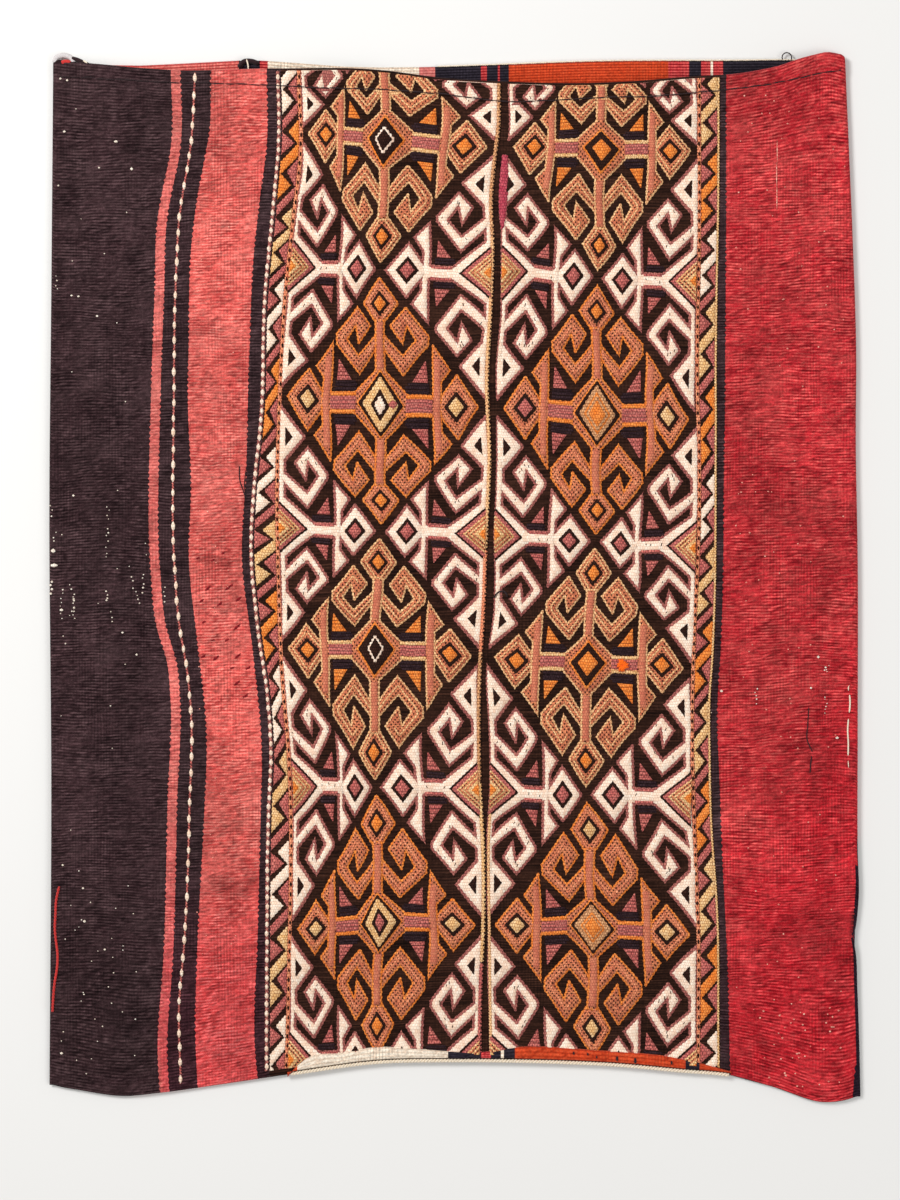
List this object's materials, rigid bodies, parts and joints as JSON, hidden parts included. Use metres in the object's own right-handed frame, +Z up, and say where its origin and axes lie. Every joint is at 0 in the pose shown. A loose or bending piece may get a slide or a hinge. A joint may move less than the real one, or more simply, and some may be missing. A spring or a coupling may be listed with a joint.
{
  "type": "chuval sack",
  "caption": "Flat-woven wool storage sack lying empty and flat, open at the mouth, with banded sides and a brocaded panel of hooked diamond figures.",
  "frame": {"origin": "on the surface that the sack lies on, under the middle of its outline", "axes": "+X from the sewn left side to the folded right side, +Y from the bottom seam to the mouth, +Z up out of the decorated front"},
  "size_m": [0.84, 1.0857, 0.0183],
  "materials": {
    "sack_wool": "weft-faced wool in dark brown, coral and madder red bands with a brocaded panel",
    "dark_thread": "twisted dark brown wool thread",
    "cream_thread": "twisted undyed wool cord",
    "madder_thread": "twisted madder red wool thread"
  },
  "bodies": {
    "root": {"sack_cloth": "sack_wool", "mouth_hem_thread": "dark_thread", "bottom_seam_thread": "cream_thread", "side_seam_thread": "madder_thread", "thread_loop": "dark_thread"}
  },
  "joints": []
}
